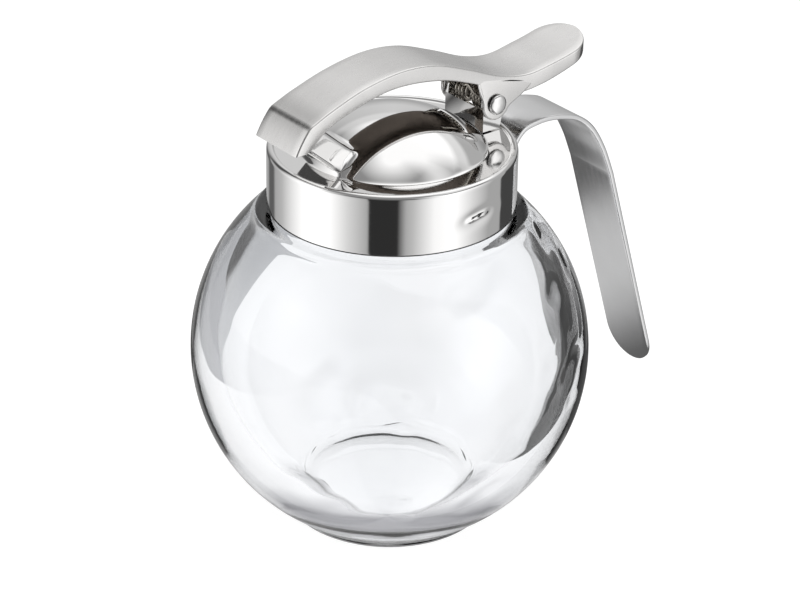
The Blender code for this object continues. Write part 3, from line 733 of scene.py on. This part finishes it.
def build_springs(surface):
    """Double torsion spring: two coils, a loop between them against the bracket's
    web, and a leg at each end that follows the lever."""
    half = []
    count = SPRING_TURNS * 44
    for k in range(count + 1):
        t = k / count
        ang = math.radians(120) - 2 * math.pi * (SPRING_TURNS - 0.25) * (1 - t)
        half.append((PIVOT_X + COIL_R * math.cos(ang), 5.3 + (1.15 - 5.3) * t, PIVOT_Z + COIL_R * math.sin(ang)))
    front = WEB_X + WEB_T + GAP + WIRE_R
    bend = [half[-1], (front + 0.05, 1.0, PIVOT_Z + 0.6), (front, 0.75, PIVOT_Z - 0.4), (front, 0.0, PIVOT_Z - 0.75)]
    bend += [(x, -y, z) for x, y, z in reversed(bend[:-1])]
    path = half[:-1] + [tuple(p) for p in smooth_line(bend, 6)] + [(x, -y, z) for x, y, z in reversed(half[:-1])]
    tube("spring_wire", path, WIRE_R, surface, "jar", ("spring",))
    under = smooth_line([LEVER_HEEL, *LEVER_UNDER], 24)
    reach = 16.4
    z = at(under, reach) - GAP - WIRE_R - 0.05
    for sgn, name, old in ((-1, "leg_right", "spring_leg_right"), (1, "leg_left", "spring_leg_left")):
        y = sgn * 5.4
        stations = np.array([
            (PIVOT_X - 3.2, y, PIVOT_Z + 1.85), (19.4, y, PIVOT_Z + 3.5), (reach + 1.2, y, z - 0.45),
            (reach + 0.4, y, z - 0.15), (reach, y - sgn * 0.5, z)])
        tube(name, smooth_line(stations, 6), WIRE_R, surface, "lever", (old,))


# ------------------------------------------------------------ studio
# Studio round the object, in layers of elevation.  Azimuths are degrees to the
# right of the camera's own direction.  A soft box is (azimuth, half width, soft
# edge, level); a black flag is (from, to, soft edge from, soft edge to, level).
LOW = dict(base=0.42, boxes=[(-74, 58, 62, 1.05), (54, 46, 44, 0.84)],
           flags=[(-20.5, 9.5, 2.0, 8.0, 0.03), (118.0, 158.0, 2.5, 18.0, 0.06), (-154.0, -136.0, 8.0, 5.0, 0.12)])
MIDDLE = dict(base=0.46, boxes=[(-80, 32, 26, 0.95), (58, 44, 34, 0.8), (180, 32, 22, 0.22)],
              flags=[(-48.0, 34.0, 40.0, 26.0, 0.15), (-142.0, -114.0, 16.0, 8.0, 0.08)])
BETWEEN = dict(base=0.34, boxes=[(-84, 32, 26, 0.5), (58, 44, 34, 0.7), (139, 50, 40, 0.5), (-170, 40, 30, 0.4)],
               flags=[(48.0, 106.0, 10.0, 10.0, 0.04), (-142.0, -108.0, 16.0, 8.0, 0.08)])
HIGH = dict(base=0.24, boxes=[(-92, 30, 26, 0.12), (72, 32, 22, 0.62), (139, 50, 40, 1.05), (-170, 40, 30, 0.80)],
            flags=[(-124.0, -106.0, 8.0, 8.0, 0.08)])
TOP = dict(base=0.30, boxes=[(162, 108, 50, 0.86)], flags=[])
ZENITH = 1.15


def studio_level(azimuth, layer):
    def off(centre):
        return abs((azimuth - centre + 180.0) % 360.0 - 180.0)
    level = layer["base"] + sum(gain * smooth01((half - off(c)) / soft) for c, half, soft, gain in layer["boxes"])
    for start, stop, soft_a, soft_b, dark in layer["flags"]:
        inside = min(smooth01((azimuth - start) / soft_a + 0.5), smooth01((stop - azimuth) / soft_b + 0.5))
        level += (dark - level) * inside
    return level


def studio_ramp(tree, layer):
    places = set(np.linspace(-180, 180, 19 if layer["flags"] else 31))
    for start, stop, soft_a, soft_b, _ in layer["flags"]:
        places |= {start - soft_a / 2, start + soft_a / 2, stop - soft_b / 2, stop + soft_b / 2}
    places = sorted(places)[:32]
    made = tree.nodes.new("ShaderNodeValToRGB")
    bar = made.color_ramp
    while len(bar.elements) < len(places):
        bar.elements.new(0.5)
    for element, place in zip(bar.elements, places):
        element.position = place / 360.0 + 0.5
    for element in bar.elements:
        v = studio_level((element.position - 0.5) * 360.0, layer)
        element.color = (v, v, v, 1.0)
    return made


def build_world(scene):
    world = bpy.data.worlds.new("studio")
    scene.world = world
    world.use_nodes = True
    tree = world.node_tree
    back = tree.nodes["Background"]
    coords = node(tree, "ShaderNodeTexCoord")
    turn = node(tree, "ShaderNodeMapping")
    # Turned so that +Y points from the object to the camera.
    turn.inputs["Rotation"].default_value = (0.0, 0.0, math.radians(180.0 + 38.1))
    parts = node(tree, "ShaderNodeSeparateXYZ")
    tree.links.new(coords.outputs["Generated"], turn.inputs["Vector"])
    tree.links.new(turn.outputs["Vector"], parts.inputs["Vector"])
    flip = node(tree, "ShaderNodeMath", operation="MULTIPLY")
    flip.inputs[1].default_value = -1.0
    tree.links.new(parts.outputs["X"], flip.inputs[0])
    around = node(tree, "ShaderNodeMath", operation="ARCTAN2")
    tree.links.new(flip.outputs[0], around.inputs[0])
    tree.links.new(parts.outputs["Y"], around.inputs[1])
    share = node(tree, "ShaderNodeMath", operation="MULTIPLY_ADD")
    share.inputs[1].default_value = 1.0 / (2 * math.pi)
    share.inputs[2].default_value = 0.5
    tree.links.new(around.outputs[0], share.inputs[0])
    rise = node(tree, "ShaderNodeMath", operation="ARCSINE")
    tree.links.new(parts.outputs["Z"], rise.inputs[0])
    below = None
    for layer, low, high in ((LOW, None, None), (MIDDLE, -4.0, 13.0), (BETWEEN, 29.0, 33.0), (HIGH, 39.0, 44.0), (TOP, 45.0, 66.0), (None, 64.0, 84.0)):
        if layer:
            bar = studio_ramp(tree, layer)
            tree.links.new(share.outputs[0], bar.inputs["Fac"])
            source = bar.outputs["Color"]
        if below is None:
            below = source
            continue
        weight = node(tree, "ShaderNodeMapRange")
        weight.inputs["From Min"].default_value = math.radians(low)
        weight.inputs["From Max"].default_value = math.radians(high)
        tree.links.new(rise.outputs[0], weight.inputs["Value"])
        mix = node(tree, "ShaderNodeMix", data_type="RGBA")
        tree.links.new(weight.outputs["Result"], mix.inputs[0])
        tree.links.new(below, mix.inputs[6])
        if layer:
            tree.links.new(source, mix.inputs[7])
        else:
            mix.inputs[7].default_value = (ZENITH, ZENITH, ZENITH, 1.0)
        below = mix.outputs[2]
    tree.links.new(below, back.inputs["Color"])
    back.inputs["Strength"].default_value = 1.0


def build_studio():
    scene = bpy.context.scene
    scene.view_settings.view_transform = "Standard"
    scene.view_settings.look = "None"
    scene.view_settings.exposure = 0.0
    scene.view_settings.gamma = 1.0

    build_world(scene)

    # Floor: a wide pale sheet that glows a little, so that it reads as white.
    made, tree, shader = material("pale_floor")
    shader.inputs["Base Color"].default_value = (0.30, 0.30, 0.30, 1)
    shader.inputs["Roughness"].default_value = 0.9
    shader.inputs["Specular IOR Level"].default_value = 0.0
    shader.inputs["Emission Color"].default_value = (1, 1, 1, 1)
    shader.inputs["Emission Strength"].default_value = 0.92
    mesh = bpy.data.meshes.new("floor")
    size = 3.0
    mesh.from_pydata([(-size, -size, -0.0002), (size, -size, -0.0002), (size, size, -0.0002), (-size, size, -0.0002)], [], [(0, 1, 2, 3)])
    floor = bpy.data.objects.new("floor", mesh)
    mesh.materials.append(made)
    scene.collection.objects.link(floor)
    # The metal mirrors the studio's lower half, as on a raised glass table.
    floor.visible_glossy = False
    floor.visible_transmission = False

    def sheet(name, corners, height, level, tint=(1, 1, 1)):
        """Flat white card on the floor; corners are (to the right, behind) in mm."""
        ca, sa = math.cos(math.radians(-38.1)), math.sin(math.radians(-38.1))
        points = [((u * ca - v * sa + AXIS_X) * MM, (u * sa + v * ca) * MM, height * MM) for u, v in corners]
        flat = bpy.data.meshes.new(name)
        flat.from_pydata(points, [], [tuple(range(len(points)))])
        obj = bpy.data.objects.new(name, flat)
        look, graph, face = material(name)
        face.inputs["Base Color"].default_value = (0, 0, 0, 1)
        face.inputs["Specular IOR Level"].default_value = 0.0
        face.inputs["Emission Color"].default_value = (*tint, 1)
        face.inputs["Emission Strength"].default_value = level
        flat.materials.append(look)
        scene.collection.objects.link(obj)
        obj.visible_camera = obj.visible_diffuse = obj.visible_shadow = False
        return obj

    # Pale wall far round the floor, for low views; only the camera sees it.
    turns = 96
    ring = [(2.6 * math.cos(2 * math.pi * k / turns), 2.6 * math.sin(2 * math.pi * k / turns)) for k in range(turns)]
    wall = bpy.data.meshes.new("pale_wall")
    wall.from_pydata([(x, y, z) for z in (-0.02, 2.6) for x, y in ring], [], grid_faces(2, turns, wrap_columns=True))
    backdrop = bpy.data.objects.new("pale_wall", wall)
    look, graph, face = material("pale_wall")
    face.inputs["Base Color"].default_value = (0, 0, 0, 1)
    face.inputs["Specular IOR Level"].default_value = 0.0
    face.inputs["Emission Color"].default_value = (1, 1, 1, 1)
    face.inputs["Emission Strength"].default_value = 1.0
    wall.materials.append(look)
    scene.collection.objects.link(backdrop)
    backdrop.visible_diffuse = backdrop.visible_glossy = backdrop.visible_transmission = backdrop.visible_shadow = False

    # The strip of lit table that the glass looks through to; darker beyond it.
    lean = math.tan(math.radians(18.7))
    table = sheet("lit_table", [(-106 - 260 * lean, -260), (56 - 260 * lean, -260), (56 + 800 * lean, 800), (-106 + 800 * lean, 800)],
                  -0.3, 1.03, (0.985, 0.99, 1.0))
    # Duller table to its left, where the glass goes grey.
    beside = sheet("table_beside", [(-420 - 260 * lean, -260), (-106 - 260 * lean, -260), (-106 + 800 * lean, 800), (-420 + 800 * lean, 800)],
                   -0.3, 0.53, (0.95, 0.965, 1.0))
    beside.visible_glossy = False
    table.visible_glossy = False
    # It is darker close in front of the foot, in the jar's own shade.
    look = table.data.materials[0]
    graph, face = look.node_tree, look.node_tree.nodes["Principled BSDF"]
    place = node(graph, "ShaderNodeTexCoord")
    from_axis = node(graph, "ShaderNodeVectorMath", operation="SUBTRACT")
    from_axis.inputs[1].default_value = (AXIS_X * MM, 0.0, -0.3 * MM)
    away = node(graph, "ShaderNodeVectorMath", operation="LENGTH")
    ahead = node(graph, "ShaderNodeVectorMath", operation="DOT_PRODUCT")
    ahead.inputs[1].default_value = (math.sin(math.radians(-38.1)), -math.cos(math.radians(-38.1)), 0.0)
    ring_of = node(graph, "ShaderNodeMath", operation="MULTIPLY")
    ring_of.inputs[1].default_value = 20.0
    front_of = node(graph, "ShaderNodeMath", operation="MULTIPLY_ADD")
    front_of.inputs[1].default_value, front_of.inputs[2].default_value = 20.0, 0.5
    shade = ramp(graph, [(0.36, 0.0), (0.46, 1.0), (0.60, 1.0), (0.76, 0.0)])
    front = ramp(graph, [(0.45, 0.0), (0.75, 1.0)])
    both = node(graph, "ShaderNodeMath", operation="MULTIPLY")
    tone = ramp(graph, [(0.0, (0.985, 0.99, 1.0)), (1.0, (0.43, 0.43, 0.45))])
    graph.links.new(place.outputs["Object"], from_axis.inputs[0])
    graph.links.new(from_axis.outputs[0], away.inputs[0])
    graph.links.new(from_axis.outputs[0], ahead.inputs[0])
    graph.links.new(away.outputs["Value"], ring_of.inputs[0])
    graph.links.new(ahead.outputs["Value"], front_of.inputs[0])
    graph.links.new(ring_of.outputs[0], shade.inputs["Fac"])
    graph.links.new(front_of.outputs[0], front.inputs["Fac"])
    graph.links.new(shade.outputs["Color"], both.inputs[0])
    graph.links.new(front.outputs["Color"], both.inputs[1])
    graph.links.new(both.outputs[0], tone.inputs["Fac"])
    graph.links.new(tone.outputs["Color"], face.inputs["Emission Color"])
    # What the inner face of the strap mirrors: bright in the middle, dark at the ends.
    start, end = np.array([73.0, 14.0]), np.array([34.0, 70.0])
    run = end - start
    length = float(np.hypot(*run))
    run /= length
    across = np.array([-run[1], run[0]])
    flat = bpy.data.meshes.new("strap_card")
    corners = [start - run * 40 - across * 30, end + run * 60 - across * 30, end + run * 60 + across * 30, start - run * 40 + across * 30]
    flat.from_pydata([((x + AXIS_X) * MM, y * MM, 0.001) for x, y in corners], [], [(0, 1, 2, 3)])
    card = bpy.data.objects.new("strap_card", flat)
    look, graph, face = material("strap_card")
    face.inputs["Base Color"].default_value = (0, 0, 0, 1)
    face.inputs["Specular IOR Level"].default_value = 0.0
    place = node(graph, "ShaderNodeTexCoord")
    aim = node(graph, "ShaderNodeVectorMath", operation="DOT_PRODUCT")
    aim.inputs[1].default_value = (run[0] * 1000 / length, run[1] * 1000 / length, 0.0)
    shift_by = node(graph, "ShaderNodeMath", operation="ADD")
    shift_by.inputs[1].default_value = -float((start + np.array([AXIS_X, 0.0])) @ run) / length
    fade = ramp(graph, [(0.0, 0.14), (0.10, 0.26), (0.26, 0.52), (0.42, 0.66), (0.64, 0.66), (0.80, 0.56), (0.91, 0.28), (0.97, 0.14)])
    graph.links.new(place.outputs["Object"], aim.inputs[0])
    graph.links.new(aim.outputs["Value"], shift_by.inputs[0])
    graph.links.new(shift_by.outputs[0], fade.inputs["Fac"])
    graph.links.new(fade.outputs["Color"], face.inputs["Emission Color"])
    face.inputs["Emission Strength"].default_value = 1.0
    flat.materials.append(look)
    scene.collection.objects.link(card)
    card.visible_camera = card.visible_diffuse = card.visible_shadow = card.visible_transmission = False

    # Camera, fitted to the globe, the lid's circles and the lever's edges.
    azimuth, elev, roll = math.radians(-38.1), math.radians(26.90), math.radians(0.89)
    distance, focal, shift = 800.0, 3369.0, (2.31, 11.73)
    back_v = np.array([0, -math.cos(elev), math.sin(elev)])
    right = np.array([1.0, 0, 0])
    up = np.array([0, math.sin(elev), math.cos(elev)])
    c, s = math.cos(roll), math.sin(roll)
    r2, u2 = c * right + s * up, -s * right + c * up
    place = np.array([shift[0], 0, shift[1]]) + distance * back_v
    ca, sa = math.cos(azimuth), math.sin(azimuth)
    turn = np.array([[ca, -sa, 0], [sa, ca, 0], [0, 0, 1]])
    place, back_v, r2, u2 = turn @ place, turn @ back_v, turn @ r2, turn @ u2
    data = bpy.data.cameras.new("camera")
    data.sensor_width = 36.0
    data.lens = focal * 36.0 / 800.0
    data.clip_start, data.clip_end = 0.01, 20.0
    camera = bpy.data.objects.new("camera", data)
    scene.collection.objects.link(camera)
    camera.matrix_world = Matrix((
        (r2[0], u2[0], back_v[0], (place[0] + AXIS_X) * MM),
        (r2[1], u2[1], back_v[1], place[1] * MM),
        (r2[2], u2[2], back_v[2], (place[2] + GLOBE_Z) * MM),
        (0, 0, 0, 1)))
    scene.camera = camera


def main():
    steel = polished_steel()
    lever_metal = satin("satin_lever", (0.80, 0.79, 0.78), 0.20, 0.30, (400, 900, 400), 0.25)
    strap_metal = satin("satin_strap", (0.78, 0.78, 0.785), 0.16, 0.24, (120, 2200, 120), 0.2)
    spring = satin("spring_wire", (0.50, 0.47, 0.42), 0.2, 0.35, (900, 900, 900), 0.2)
    glass = clear_glass()
    build_glass(glass)
    build_lid(steel)
    # Painted shade: a dark metal for the lever's downward faces.
    underside_shade = satin("painted_shade_underside", (0.17, 0.145, 0.125), 0.30, 0.42, (300, 300, 300), 0.5)
    build_lever(lever_metal, underside_shade)
    build_handle(strap_metal)
    build_pin(steel)
    build_springs(spring)
    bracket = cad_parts["bracket"]
    bracket.data.materials.clear()
    bracket.data.materials.append(steel)
    build_studio()


main()
